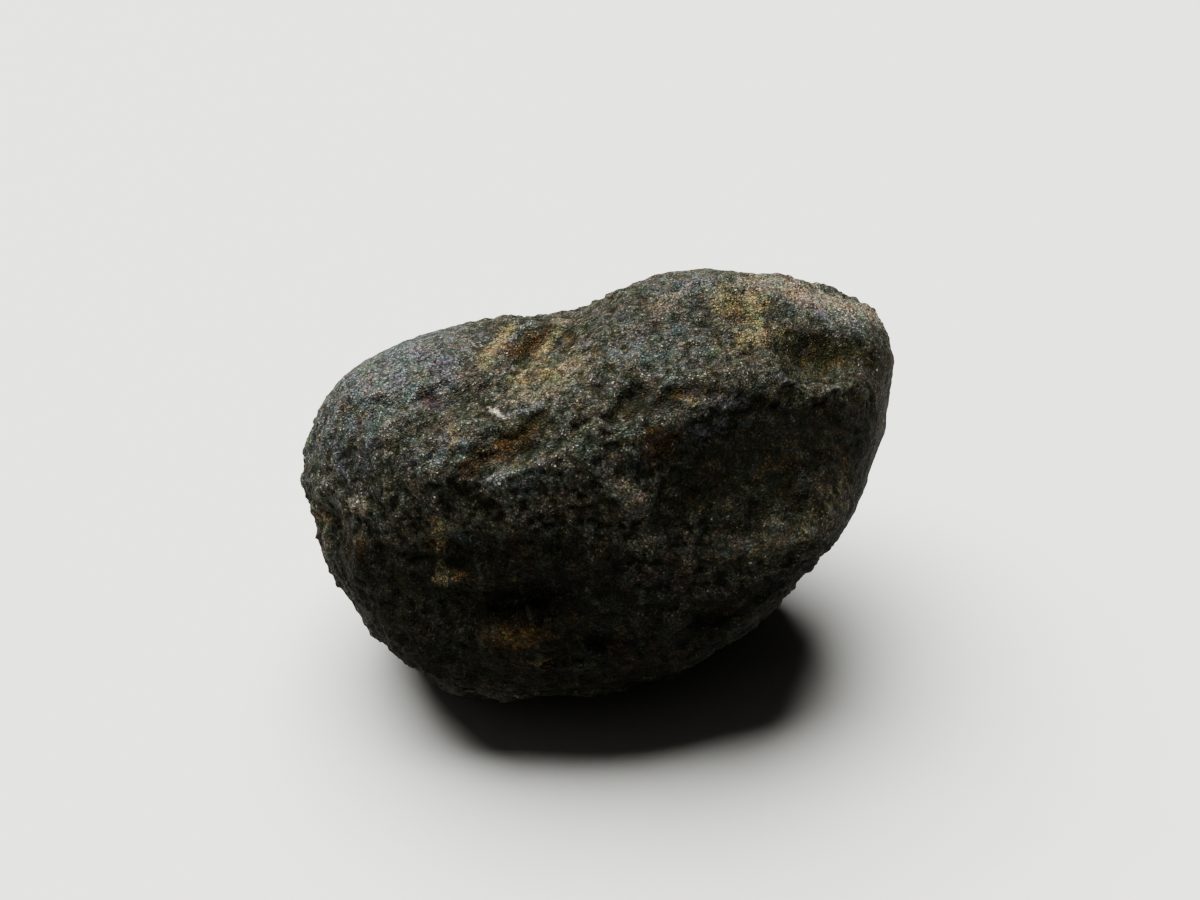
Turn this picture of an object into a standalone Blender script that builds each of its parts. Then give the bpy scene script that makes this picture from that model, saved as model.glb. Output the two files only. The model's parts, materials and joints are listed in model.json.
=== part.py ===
"""A nodule of saffordite: one weathered, pitted pebble of natural glass, about as long as a thumbnail.

Lengths are in metres. X runs along the stone, Z is up, and the origin is under the middle of the stone,
on the surface that it rests on. The stone's fullest outline, its girdle, lies in a plane that is turned
about Z and leans back. Faces, hollows and ridges are all placed from that plane.
"""

import math
from typing import NamedTuple

import bmesh
import bpy
from mathutils import Vector, noise

MM = 0.001

# Driving dimensions: the box that the finished stone fills.
LENGTH = 25.0 * MM
DEPTH = 17.4 * MM
HEIGHT = 16.9 * MM

# The girdle plane, and the directions measured from it.
GIRDLE_TURN = math.radians(18)
GIRDLE_LEAN = math.radians(38)

# How the body is meshed and worn.
CUTS = 27
WEAR = 14.0
FOOT_DEPTH = 0.28 * MM
SEAM = 3.0 * MM  # the belt round the girdle where near marks give way to far ones


class Face(NamedTuple):
    """A broad worn face: its angle round the girdle, its lean towards the near side, and its reach."""

    angle: float
    lean: float
    reach: float


class Mark(NamedTuple):
    """A hollow (height below 0) or a swelling, placed on the girdle plane as seen from the near side."""

    across: float
    up: float
    length: float
    width: float
    turn: float
    height: float
    steepness: float = 1.0


GIRDLE_FACES = (
    Face(0, 0, 14.2),
    Face(22, 0, 15.0),
    Face(37, 0, 14.9),
    Face(71, 0, 10.8),
    Face(90, 0, 9.6),
    Face(103, 0, 7.45),
    Face(124, 0, 9.6),
    Face(158, 0, 12.4),
    Face(180, 0, 12.7),
    Face(214, 0, 11.3),
    Face(244, 0, 10.9),
    Face(270, 0, 9.5),
    Face(283, 0, 8.6),
    Face(315, 0, 8.5),
    Face(342, 0, 10.7),
)
NEAR_FACES = (
    Face(102, 46, 7.9),
    Face(78, 38, 8.6),
    Face(188, 42, 10.9),
    Face(232, 60, 8.6),
    Face(300, 66, 7.6),
    Face(275, 35, 8.8),
    Face(8, 40, 10.6),
)
FAR_FACES = (
    Face(100, -45, 8.2),
    Face(180, -48, 10.2),
    Face(0, -45, 10.6),
    Face(0, -85, 8.6),
    Face(270, -38, 8.6),
)
NEAR_MARKS = (
    Mark(-2.6, 5.6, 3.4, 1.5, 38, -0.60),  # saddle between the two lobes
    Mark(-2.9, 5.4, 1.9, 0.55, 35, -0.45),  # gutter in the saddle
    Mark(-1.3, 7.2, 1.5, 1.1, 60, -0.25),  # where the saddle crosses the top edge
    Mark(2.6, 8.3, 2.4, 1.3, 0, 0.30),  # crown of the higher lobe
    Mark(-3.3, 1.6, 1.9, 0.70, 29, -0.70),  # long hollow
    Mark(-3.4, 0.2, 1.9, 0.50, 22, 0.32),  # its lower lip
    Mark(-5.9, 1.4, 1.0, 0.7, 80, 0.16),
    Mark(1.3, 3.2, 0.8, 0.50, 110, -0.45),  # pits on the brow
    Mark(3.2, 3.4, 0.9, 0.60, 10, -0.35),
    Mark(2.2, 1.3, 1.2, 0.8, 50, -0.30),
    Mark(8.8, 5.6, 1.7, 1.0, -10, -0.70, 1.4),  # end pit
    Mark(8.6, 4.0, 1.7, 0.50, 8, 0.15),  # its lower lip
    Mark(5.9, 1.4, 4.0, 1.9, 6, -0.80, 1.3),  # wide hollow under the brow
    Mark(5.6, -2.1, 3.6, 0.9, 9, 0.30),  # ridge below it
    Mark(8.3, -2.1, 0.8, 0.6, 0, 0.20),  # knobs on and beside the ridge
    Mark(1.2, -0.8, 0.8, 0.6, 0, 0.32),
    Mark(1.9, -2.4, 0.9, 0.6, 0, 0.24),
    Mark(-1.7, -0.9, 2.0, 0.5, 45, 0.24),  # slanting rib at the front
    Mark(4.3, -5.6, 1.0, 0.6, 20, -0.45),  # hollows along the front foot
    Mark(-0.1, -6.3, 1.2, 0.7, 5, -0.40),
    Mark(-2.7, -4.7, 2.2, 1.1, 12, -0.60),
    Mark(-3.5, -6.2, 1.0, 0.6, 5, 0.18),
    Mark(-5.0, -2.8, 1.3, 0.5, 4, -0.40),
    Mark(-5.9, -3.9, 0.9, 0.5, 10, 0.20),
    Mark(-10.9, -1.7, 1.0, 0.5, -50, -0.45),  # notch in the low end
    Mark(-5.6, -0.7, 1.2, 0.7, 100, -0.30),
    Mark(-8.2, -0.6, 1.5, 1.0, 60, 0.20),
)
FAR_MARKS = (
    Mark(-5.2, 3.4, 3.4, 1.7, -24, -0.60),  # broad scoop on the back
    Mark(-4.6, 5.2, 2.2, 0.5, -20, 0.24),  # its upper lip
    Mark(3.4, 4.6, 2.4, 1.1, 35, -0.50),  # slanting hollow
    Mark(5.6, 2.9, 1.6, 0.5, 30, 0.25),
    Mark(8.2, 0.4, 1.5, 1.1, 70, -0.40),
    Mark(-8.0, -0.9, 1.4, 0.9, -50, -0.35),
    Mark(-0.6, 0.9, 0.8, 0.7, 0, -0.40),
    Mark(0.9, 2.0, 0.9, 0.6, 20, 0.22),
    Mark(2.7, -0.9, 1.5, 0.9, -15, -0.30),
    Mark(-3.4, -1.3, 0.9, 0.6, 30, 0.22),
)
LUMPS = ((3.6 * MM, 0.26 * MM), (1.7 * MM, 0.14 * MM))


def girdle_axes():
    """The girdle plane's rightward and upward directions, and the one out of it to the near side."""
    turn, lean = GIRDLE_TURN, GIRDLE_LEAN
    right = Vector((math.cos(turn), -math.sin(turn), 0.0))
    out = Vector((-math.sin(turn) * math.cos(lean), -math.cos(turn) * math.cos(lean), math.sin(lean)))
    return right, out.cross(right), out


RIGHT, UP, OUT = girdle_axes()


def direction(angle, lean):
    """The unit vector at an angle round the girdle, leaning out of it."""
    angle, lean = math.radians(angle), math.radians(lean)
    in_plane = RIGHT * math.cos(angle) + UP * math.sin(angle)
    return in_plane * math.cos(lean) + OUT * math.sin(lean)


BODY_PLANES = [(direction(f.angle, f.lean), f.reach * MM) for f in GIRDLE_FACES + NEAR_FACES + FAR_FACES]


def worn_point(ray):
    """Where a ray from the stone's middle meets the body: its faces, with every edge worn round."""
    total = sum((max(0.0, ray.dot(normal)) / reach) ** WEAR for normal, reach in BODY_PLANES)
    return ray * total ** (-1.0 / WEAR)


def outward(point):
    """The body's outward normal at a point on it."""
    return sum(
        ((max(0.0, point.dot(normal)) / reach) ** (WEAR - 1.0) / reach * normal for normal, reach in BODY_PLANES),
        Vector(),
    ).normalized()


def rise(mark, across, up):
    """How far a mark lifts the surface at a place on the girdle plane."""
    turn = math.radians(mark.turn)
    across, up = across - mark.across * MM, up - mark.up * MM
    along = (across * math.cos(turn) + up * math.sin(turn)) / (mark.length * MM)
    beside = (up * math.cos(turn) - across * math.sin(turn)) / (mark.width * MM)
    return mark.height * MM * math.exp(-((along**2 + beside**2) ** mark.steepness))


def marked(point):
    """A point of the body moved in or out by the hollows, lips and lumps."""
    place = point.dot(RIGHT), point.dot(UP)
    near = min(1.0, max(0.0, 1.0 + point.dot(OUT) / SEAM))
    lift = near * sum(rise(mark, *place) for mark in NEAR_MARKS)
    lift += (1.0 - near) * sum(rise(mark, *place) for mark in FAR_MARKS)
    lift += sum(height * noise.noise(point / size) for size, height in LUMPS)
    return point + outward(point) * lift


def new_stone():
    """An even ball of quads, from a cube, as a bmesh."""
    mesh = bmesh.new()
    bmesh.ops.create_cube(mesh, size=2.0)
    bmesh.ops.subdivide_edges(mesh, edges=mesh.edges[:], cuts=CUTS, use_grid_fill=True)
    for vert in mesh.verts:
        vert.co = Vector(math.tan(c * math.pi / 4) for c in vert.co).normalized()
    return mesh


def wear_foot(mesh):
    """Wears the lowest spot to a small flat that the stone rests on."""
    level = min(vert.co.z for vert in mesh.verts) + FOOT_DEPTH
    for vert in mesh.verts:
        vert.co.z = max(vert.co.z, level)


def fit_box(mesh):
    """Brings the stone to its driving dimensions, with the origin under the middle of its box."""
    lows, highs = [Vector(pick(vert.co[axis] for vert in mesh.verts) for axis in range(3)) for pick in (min, max)]
    middle = (lows + highs) / 2
    scale = Vector(size / (high - low) for size, low, high in zip((LENGTH, DEPTH, HEIGHT), lows, highs))
    bmesh.ops.translate(mesh, verts=mesh.verts, vec=(-middle.x, -middle.y, -lows.z))
    bmesh.ops.scale(mesh, verts=mesh.verts, vec=scale)


def stone_material():
    """Dark weathered glass with a frosted surface."""
    material = bpy.data.materials.new("frosted dark glass")
    material.use_nodes = True
    shader = material.node_tree.nodes["Principled BSDF"]
    shader.inputs["Base Color"].default_value = (0.045, 0.042, 0.036, 1.0)
    shader.inputs["Roughness"].default_value = 0.62
    shader.inputs["Metallic"].default_value = 0.0
    return material


def main():
    """Builds the stone as one object in a collection of its own."""
    for obj in list(bpy.data.objects):
        bpy.data.objects.remove(obj)
    mesh = new_stone()
    stretch = Vector((LENGTH, DEPTH, HEIGHT))
    for vert in mesh.verts:
        ray = Vector(c * s for c, s in zip(vert.co, stretch)).normalized()
        vert.co = marked(worn_point(ray))
    wear_foot(mesh)
    fit_box(mesh)
    data = bpy.data.meshes.new("nodule")
    mesh.to_mesh(data)
    mesh.free()
    data.shade_smooth()
    data.materials.append(stone_material())
    collection = bpy.data.collections.new("saffordite")
    bpy.context.scene.collection.children.link(collection)
    collection.objects.link(bpy.data.objects.new("nodule", data))


main()
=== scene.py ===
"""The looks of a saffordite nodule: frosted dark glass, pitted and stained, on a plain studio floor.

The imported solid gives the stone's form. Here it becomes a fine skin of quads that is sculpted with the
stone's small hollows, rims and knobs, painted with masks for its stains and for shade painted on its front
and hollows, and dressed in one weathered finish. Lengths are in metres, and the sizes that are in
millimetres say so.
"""

import json
import logging
import math
from dataclasses import dataclass, field
from enum import Enum
from functools import cache

import bpy
import numpy as np
from mathutils import Matrix, Vector, noise

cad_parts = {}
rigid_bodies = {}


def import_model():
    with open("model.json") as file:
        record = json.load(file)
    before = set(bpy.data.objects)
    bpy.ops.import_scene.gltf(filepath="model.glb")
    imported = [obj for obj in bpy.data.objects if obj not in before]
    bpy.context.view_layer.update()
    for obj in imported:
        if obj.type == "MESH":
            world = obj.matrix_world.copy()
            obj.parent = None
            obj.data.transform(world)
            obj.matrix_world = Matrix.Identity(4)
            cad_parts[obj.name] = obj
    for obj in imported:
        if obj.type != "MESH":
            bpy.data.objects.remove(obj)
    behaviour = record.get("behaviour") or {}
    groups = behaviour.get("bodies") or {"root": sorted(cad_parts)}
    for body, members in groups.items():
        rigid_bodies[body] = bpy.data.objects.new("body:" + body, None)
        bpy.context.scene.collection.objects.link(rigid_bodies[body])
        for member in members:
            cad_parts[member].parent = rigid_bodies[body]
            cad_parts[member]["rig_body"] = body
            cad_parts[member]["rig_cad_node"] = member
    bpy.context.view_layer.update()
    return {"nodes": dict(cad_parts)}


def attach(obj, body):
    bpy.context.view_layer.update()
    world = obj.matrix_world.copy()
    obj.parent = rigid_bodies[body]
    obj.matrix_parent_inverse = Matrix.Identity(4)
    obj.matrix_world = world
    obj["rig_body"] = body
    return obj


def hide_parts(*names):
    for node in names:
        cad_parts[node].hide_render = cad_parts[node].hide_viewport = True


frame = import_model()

MM = 0.001
LOG = logging.getLogger("saffordite")
CREST = "crest"  # the mask that tells crests from hollows
RUGGED = "rugged"  # the vertex group of how rough a place may be

Colour = tuple[float, float, float]
Socket = bpy.types.NodeSocket
Feed = float | tuple[float, ...] | Socket  # what a node's input takes: a value, or a socket to link
Inputs = dict[str | int, Feed]
Setting = str | bpy.types.NodeTree  # what a node's own property takes


class Side(Enum):
    """Which side of the stone's fullest outline a place lies on."""

    NEAR = "near"
    FAR = "far"


class Tint(Enum):
    """What colours a patch of the surface. The value is the mesh attribute that holds its mask."""

    OLIVE = "olive"
    # The glass wash is darker bare glass and also painted shade, laid on the shaded front, its foot and the
    # hollows.
    GLASS = "glass"
    PLUM = "plum"
    RUST = "rust"
    FROST = "frost"
    OCHRE = "ochre"
    CREAM = "cream"
    CHIP = "chip"


class Pattern(Enum):
    """The shape that a relief repeats. The value is Blender's name for the noise or the texture."""

    CLODS = "SOFT_NOISE"
    CREVICES = "HARD_NOISE"
    SCALLOPS = "VORONOI"


@dataclass(frozen=True)
class Relief:
    """A pattern that roughens the whole stone.

    level is the texture's value, from 0 to 1, that leaves the surface where it is.
    """

    name: str
    pattern: Pattern
    size_mm: float
    height_mm: float
    level: float
    depth: int = 1

    def texture(self) -> bpy.types.Texture:
        """Makes the pattern's texture.

        Returns:
            The texture, at its real size.
        """
        if self.pattern is Pattern.SCALLOPS:
            made = bpy.data.textures.new(self.name, self.pattern.value)
            made.distance_metric = "DISTANCE_SQUARED"
            made.noise_intensity = 1.0
        else:
            made = bpy.data.textures.new(self.name, "CLOUDS")
            made.noise_type = self.pattern.value
            made.noise_depth = self.depth
            made.noise_basis = "IMPROVED_PERLIN"
        made.noise_scale = self.size_mm * MM
        return made


@dataclass(frozen=True)
class Place:
    """An oval on the girdle plane, in millimetres from the stone's middle.

    across and up are its middle, length and width half its size along and beside its own line, and turn the
    angle of that line in degrees. steepness is 1 for a soft bell, and more for an edge that falls off fast.
    """

    across: float
    up: float
    length: float
    width: float
    turn: float
    steepness: float = 1.0
    side: Side = Side.NEAR


@dataclass(frozen=True)
class Mark:
    """A sculpted hollow, rim or knob: its place, and how far it lifts the surface, in millimetres.

    lean moves a hollow's bottom towards its lower side, which leaves a long face above a short one.
    """

    place: Place
    lift: float
    lean: float = 0.0


@dataclass(frozen=True)
class Stain:
    """A coloured patch: where it lies, and how strong it is, from 0 to 1."""

    place: Place
    strength: float


@dataclass(frozen=True)
class Girdle:
    """The plane of the stone's fullest outline. Its features are placed on this plane, as seen square to it.

    seam_mm is how far behind the plane the near side's features fade out and the far side's fade in.
    """

    turn: float = math.radians(18)
    lean: float = math.radians(38)
    middle_mm: tuple[float, float, float] = (-0.47, -0.26, 8.62)
    seam_mm: float = 3.0

    def out(self) -> Vector:
        """The direction out of the plane, towards the near side."""
        level = math.cos(self.lean)
        return Vector((-math.sin(self.turn) * level, -math.cos(self.turn) * level, math.sin(self.lean)))

    def right(self) -> Vector:
        """The level direction in the plane."""
        return Vector((math.cos(self.turn), -math.sin(self.turn), 0.0))

    def rise(self) -> Vector:
        """The upward direction in the plane."""
        return self.out().cross(self.right())

    def middle(self) -> Vector:
        """The stone's middle, in metres."""
        return Vector(self.middle_mm) * MM

    def placed(self, points: np.ndarray) -> np.ndarray:
        """Turns points into millimetres across, up and out from the stone's middle.

        Args:
            points: Positions in metres, one to a row.

        Returns:
            An array of the same shape.
        """
        axes = np.array([self.right(), self.rise(), self.out()])
        return (points - np.array(self.middle())) @ axes.T / MM

    def local(self, place: Place, placed: np.ndarray) -> tuple[np.ndarray, np.ndarray]:
        """Says where points lie in an oval.

        Args:
            place: The oval.
            placed: Points from placed(), which may have been jittered.

        Returns:
            Their distances along and beside the oval's own line, as shares of its half sizes.
        """
        turn = math.radians(place.turn)
        across, up = placed[:, 0] - place.across, placed[:, 1] - place.up
        along = (across * math.cos(turn) + up * math.sin(turn)) / place.length
        beside = (up * math.cos(turn) - across * math.sin(turn)) / place.width
        return along, beside

    def felt(self, place: Place, placed: np.ndarray) -> np.ndarray:
        """Says how strongly points feel a place, from 0 to 1.

        Args:
            place: The oval.
            placed: Points from placed(), which may have been jittered.

        Returns:
            One value for each point.
        """
        along, beside = self.local(place, placed)
        nearness = np.clip(1.0 + placed[:, 2] / self.seam_mm, 0.0, 1.0)
        weight = nearness if place.side is Side.NEAR else 1.0 - nearness
        return weight * np.exp(-((along**2 + beside**2) ** place.steepness))

    def lift(self, mark: Mark, placed: np.ndarray) -> np.ndarray:
        """Says how far a mark lifts points.

        Args:
            mark: The mark.
            placed: Points from placed(), which may have been jittered.

        Returns:
            Millimetres, one value for each point.
        """
        beside = self.local(mark.place, placed)[1]
        return mark.lift * self.felt(mark.place, placed) * (1.0 - mark.lean * beside)


class Skin:
    """The stone's mesh as arrays, for sculpting and painting."""

    def __init__(self, piece: bpy.types.Object) -> None:
        """Reads the piece's vertices and edges.

        Args:
            piece: A mesh object at the origin.
        """
        self.mesh = piece.data
        self.count = len(self.mesh.vertices)
        flat = np.empty(self.count * 3, np.float32)
        self.mesh.vertices.foreach_get("co", flat)
        self.points = flat.reshape(-1, 3).astype(float)
        ends = np.empty(len(self.mesh.edges) * 2, np.int32)
        self.mesh.edges.foreach_get("vertices", ends)
        self.ends = ends.reshape(-1, 2)

    def normals(self) -> np.ndarray:
        """Reads the outward normals at the vertices, as they are in the mesh now.

        Returns:
            One unit vector to a row.
        """
        flat = np.empty(self.count * 3, np.float32)
        self.mesh.vertex_normals.foreach_get("vector", flat)
        return flat.reshape(-1, 3).astype(float)

    def spread(self, values: np.ndarray, rounds: int) -> np.ndarray:
        """Averages each vertex's values with its neighbours', several times over.

        Args:
            values: One row for each vertex.
            rounds: How many times to average.

        Returns:
            The smoothed rows.
        """
        first, second = self.ends[:, 0], self.ends[:, 1]
        links = np.bincount(first, minlength=self.count) + np.bincount(second, minlength=self.count)
        columns = values.reshape(self.count, -1).copy()
        for _ in range(rounds):
            for axis in range(columns.shape[1]):
                column = columns[:, axis]
                total = np.bincount(first, column[second], self.count)
                total += np.bincount(second, column[first], self.count)
                columns[:, axis] = (column + total / links) / 2
        return columns.reshape(values.shape)

    def relief(self, rounds: int) -> np.ndarray:
        """Measures how far each vertex stands above its smoothed surroundings.

        Args:
            rounds: How widely the surroundings are smoothed.

        Returns:
            Millimetres, one value for each vertex: above 0 on crests, below 0 in hollows.
        """
        away = self.points - self.spread(self.points, rounds)
        return np.einsum("ij,ij->i", away, self.normals()) / MM

    def move(self, points: np.ndarray) -> None:
        """Writes new vertex positions to the mesh, kept on or above the floor.

        Args:
            points: The new positions, in metres.
        """
        self.points = points
        self.points[:, 2] = np.maximum(self.points[:, 2], 0.0)
        self.mesh.vertices.foreach_set("co", self.points.astype(np.float32).ravel())
        self.mesh.update()

    def paint(self, name: str, mask: np.ndarray) -> None:
        """Stores a mask on the vertices as an attribute.

        Args:
            name: The attribute's name.
            mask: One value for each vertex.
        """
        attribute = self.mesh.attributes.new(name, "FLOAT", "POINT")
        attribute.data.foreach_set("value", mask.astype(np.float32))


def noise_field(points_mm: np.ndarray, size_mm: float, shift: float) -> np.ndarray:
    """Makes smooth noise at each point, from about -1 to 1.

    Args:
        points_mm: Positions in millimetres.
        size_mm: The size of one lump.
        shift: Moves the pattern, so that two fields of one size differ.

    Returns:
        One value for each point.
    """
    falloff, step, octaves = 0.9, 2.1, 2  # how much weaker and finer each layer is, and how many there are
    offset = Vector((shift, -shift, 2 * shift))
    return np.array([
        noise.fractal(Vector(point) / size_mm + offset, falloff, step, octaves) for point in points_mm
    ])


def near(across: float, up: float, length: float, width: float, turn: float, steepness: float = 1.0) -> Place:
    """A place on the near side."""
    return Place(across, up, length, width, turn, steepness, Side.NEAR)


def far(across: float, up: float, length: float, width: float, turn: float, steepness: float = 1.0) -> Place:
    """A place on the far side."""
    return Place(across, up, length, width, turn, steepness, Side.FAR)


RELIEFS = (
    Relief("lumps", Pattern.CLODS, size_mm=1.6, height_mm=0.48, level=0.5, depth=2),
    Relief("scallops", Pattern.SCALLOPS, size_mm=1.2, height_mm=0.26, level=0.3),
    Relief("crevices", Pattern.CREVICES, size_mm=0.7, height_mm=0.32, level=0.35, depth=2),
    Relief("clods", Pattern.CLODS, size_mm=0.5, height_mm=0.26, level=0.5, depth=3),
    Relief("crumbs", Pattern.SCALLOPS, size_mm=0.34, height_mm=-0.11, level=0.3),
)

CALM_PLACES = (
    near(-7.8, 5.0, 4.0, 1.9, 16, 1.6),  # the smooth lobe
    near(-3.0, 5.3, 1.4, 0.6, 35),  # the gutter
    near(9.6, 6.7, 2.0, 0.8, -15, 1.5),  # the smooth shoulder above the end pit
    near(4.0, 8.6, 3.0, 0.8, 0),  # the crown
    near(8.8, 5.3, 1.5, 0.9, -8, 2.0),  # the end pit
    near(12.0, 1.0, 1.6, 6.0, -12, 2.0),  # the tall end
    near(6.9, 1.5, 2.5, 1.1, 12, 1.6),  # the wide hollow
    near(6.4, -2.3, 2.6, 0.7, 12),  # the ridge
    far(-3.4, 5.9, 2.4, 1.1, -15, 1.4),  # frosted patches of the back
    far(6.4, 4.8, 2.0, 1.3, -30, 1.4),
    far(1.7, 2.3, 1.8, 0.9, 20, 1.4),
    far(-7.6, 1.6, 1.2, 1.7, 10, 1.4),
    far(-2.6, -1.6, 2.0, 0.7, 25, 1.4),
)

MARKS = (
    # The gutter across the saddle, its banks, and a second groove beside it.
    Mark(near(-2.5, 5.6, 1.1, 0.32, 34), -0.24, lean=0.3),
    Mark(near(-3.8, 5.05, 1.1, 0.42, 33), 0.22),
    Mark(near(-3.8, 4.42, 0.9, 0.35, 22), 0.24),
    Mark(near(-3.25, 6.05, 0.9, 0.13, 36), 0.12),
    Mark(near(-2.0, 5.6, 0.9, 0.14, 54), 0.2),
    Mark(near(-1.25, 5.5, 0.7, 0.25, 60), -0.16),
    Mark(near(-1.5, 6.5, 0.5, 0.25, 10), 0.1),
    # The edge of the smooth lobe.
    Mark(near(-6.6, 3.8, 2.6, 0.2, 8), 0.12),
    Mark(near(-6.4, 3.2, 2.6, 0.35, 8), -0.18),
    # The long hollow: its floor, its high end, its rims, the undercut below its lip, and a chip above it.
    Mark(near(-3.3, 1.75, 1.7, 0.45, 29), 0.22),
    Mark(near(-3.1, 1.45, 2.2, 0.85, 27), -0.28, lean=0.2),
    Mark(near(-1.9, 1.95, 1.0, 0.5, 38), 0.2),
    Mark(near(-2.0, 1.2, 1.1, 0.25, 38), -0.14),
    Mark(near(-2.9, 2.75, 1.6, 0.36, 18), 0.14),
    Mark(near(-3.6, 0.35, 1.8, 0.28, 24), 0.2),
    Mark(near(-4.6, -0.35, 0.8, 0.15, -32), 0.12),
    Mark(near(-4.9, -0.62, 1.0, 0.24, -32, 1.3), -0.24),
    Mark(near(-6.0, 0.35, 0.9, 0.8, 20), 0.34),
    Mark(near(-4.1, 2.75, 0.3, 0.12, -25), 0.08),
    # The end pit: its drop, its upper edge and its crescent lip.
    Mark(near(8.75, 4.85, 1.8, 0.75, -8, 1.15), -0.55, lean=0.5),
    Mark(near(8.6, 6.15, 1.6, 0.28, -12), 0.16),
    Mark(near(7.75, 3.74, 0.75, 0.14, -32), 0.2),
    Mark(near(8.9, 3.58, 0.75, 0.14, 14), 0.22),
    # The brow: its rounded edge, its pits, and the slopes beside and below it.
    Mark(near(4.4, 2.3, 2.4, 0.7, 20), -0.34),
    Mark(near(1.05, 3.25, 0.5, 0.42, 40, 1.4), -0.3, lean=0.5),
    Mark(near(3.2, 3.5, 0.35, 0.25, 20, 1.4), -0.12, lean=0.5),
    Mark(near(2.2, 3.0, 0.35, 0.25, 60, 1.4), -0.18, lean=0.5),
    Mark(near(4.3, 2.9, 0.4, 0.28, 40, 1.4), -0.2, lean=0.5),
    Mark(near(0.3, 2.5, 0.35, 0.25, 10, 1.4), -0.18, lean=0.5),
    Mark(near(4.6, 3.5, 0.6, 0.28, 10, 1.4), -0.16, lean=0.3),
    Mark(near(-0.9, 2.4, 0.9, 0.35, 35), -0.2, lean=0.4),
    Mark(near(-0.2, 1.3, 0.9, 0.28, 40), 0.18),
    Mark(near(0.2, 3.9, 0.8, 0.3, 30), -0.14, lean=0.4),
    Mark(near(1.9, 1.3, 2.6, 0.75, 24), 0.38),
    Mark(near(7.6, 0.4, 1.3, 0.5, 20), -0.12),
    # Knobs along the ridge.
    Mark(near(8.1, -2.25, 0.42, 0.34, 0), 0.2),
    Mark(near(6.9, -2.05, 0.4, 0.3, 0), 0.18),
    Mark(near(5.9, -2.55, 0.35, 0.25, 20), 0.14),
    Mark(near(4.6, -2.6, 0.5, 0.3, 20), 0.14),
    # Knobs on the front.
    Mark(near(1.1, -0.7, 1.5, 0.9, -35), 0.22),
    Mark(near(0.7, -0.2, 0.42, 0.34, 30), 0.22),
    Mark(near(1.6, -0.9, 0.4, 0.3, 30), 0.22),
    Mark(near(0.3, -1.2, 0.35, 0.3, 30), 0.16),
    Mark(near(2.1, -2.3, 0.6, 0.36, 30), 0.22),
    Mark(near(-0.4, -1.6, 0.5, 0.35, 50), 0.12),
    # The slit low on the front, between two pale ribs.
    Mark(near(-5.1, -2.25, 0.75, 0.22, -20), 0.18),
    Mark(near(-5.9, -3.2, 0.75, 0.22, -8, 1.4), -0.15),
    Mark(near(-6.0, -3.85, 0.6, 0.28, -5), 0.14),
    # Hollows and a rib at the front foot.
    Mark(near(-2.6, -4.7, 1.9, 0.7, 8, 1.6), -0.22),
    Mark(near(-3.3, -5.9, 1.2, 0.25, 5), 0.12),
    Mark(near(-0.2, -6.35, 0.9, 0.5, 5, 1.2), -0.12),
    Mark(near(4.3, -5.6, 0.8, 0.35, 20, 1.6), -0.2),
    # The low end: a notch between two rims, and a knob.
    Mark(near(-11.25, -1.55, 0.75, 0.13, -52), 0.12),
    Mark(near(-11.0, -1.75, 0.8, 0.14, -52, 1.3), -0.16),
    Mark(near(-10.7, -1.95, 0.75, 0.13, -52), 0.12),
    Mark(near(-9.5, -1.0, 0.55, 0.38, -20), 0.16),
    # Thin slanting ribs.
    Mark(near(-2.9, -1.4, 1.6, 0.14, 45), 0.12),
    Mark(near(-1.4, -7.3, 1.8, 0.14, -6), 0.12),
    # The back: a broad hollow with a lip, and a slanting gutter with its banks.
    Mark(far(-5.4, 3.0, 2.3, 0.8, -24, 1.3), -0.3, lean=0.5),
    Mark(far(-4.4, 4.4, 2.0, 0.2, -22), 0.16),
    Mark(far(3.3, 4.6, 1.8, 0.45, 35, 1.3), -0.28, lean=0.4),
    Mark(far(4.4, 3.9, 1.6, 0.18, 36), 0.16),
    Mark(far(1.9, 5.3, 1.4, 0.18, 34), 0.12),
    # Its pits.
    Mark(far(-0.6, 0.9, 0.6, 0.45, 0, 1.5), -0.3, lean=0.3),
    Mark(far(0.7, 0.2, 0.45, 0.35, 0, 1.5), -0.24),
    Mark(far(-1.7, 2.1, 0.4, 0.3, 40, 1.5), -0.2),
    Mark(far(8.2, 0.4, 1.0, 0.6, 70, 1.5), -0.26, lean=0.4),
    Mark(far(7.2, 2.6, 0.5, 0.4, 20, 1.5), -0.22),
    Mark(far(-8.0, -0.9, 1.0, 0.5, -50, 1.5), -0.26, lean=0.4),
    # Its thin ribs and knobs.
    Mark(far(-6.2, -2.6, 1.6, 0.16, -30), 0.12),
    Mark(far(2.2, -3.0, 2.2, 0.16, 15), 0.12),
    Mark(far(5.4, -1.6, 0.45, 0.35, 0), 0.18),
    Mark(far(4.2, -1.2, 0.35, 0.3, 0), 0.14),
    Mark(far(-3.2, -0.6, 0.45, 0.35, 30), 0.16),
)

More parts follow.
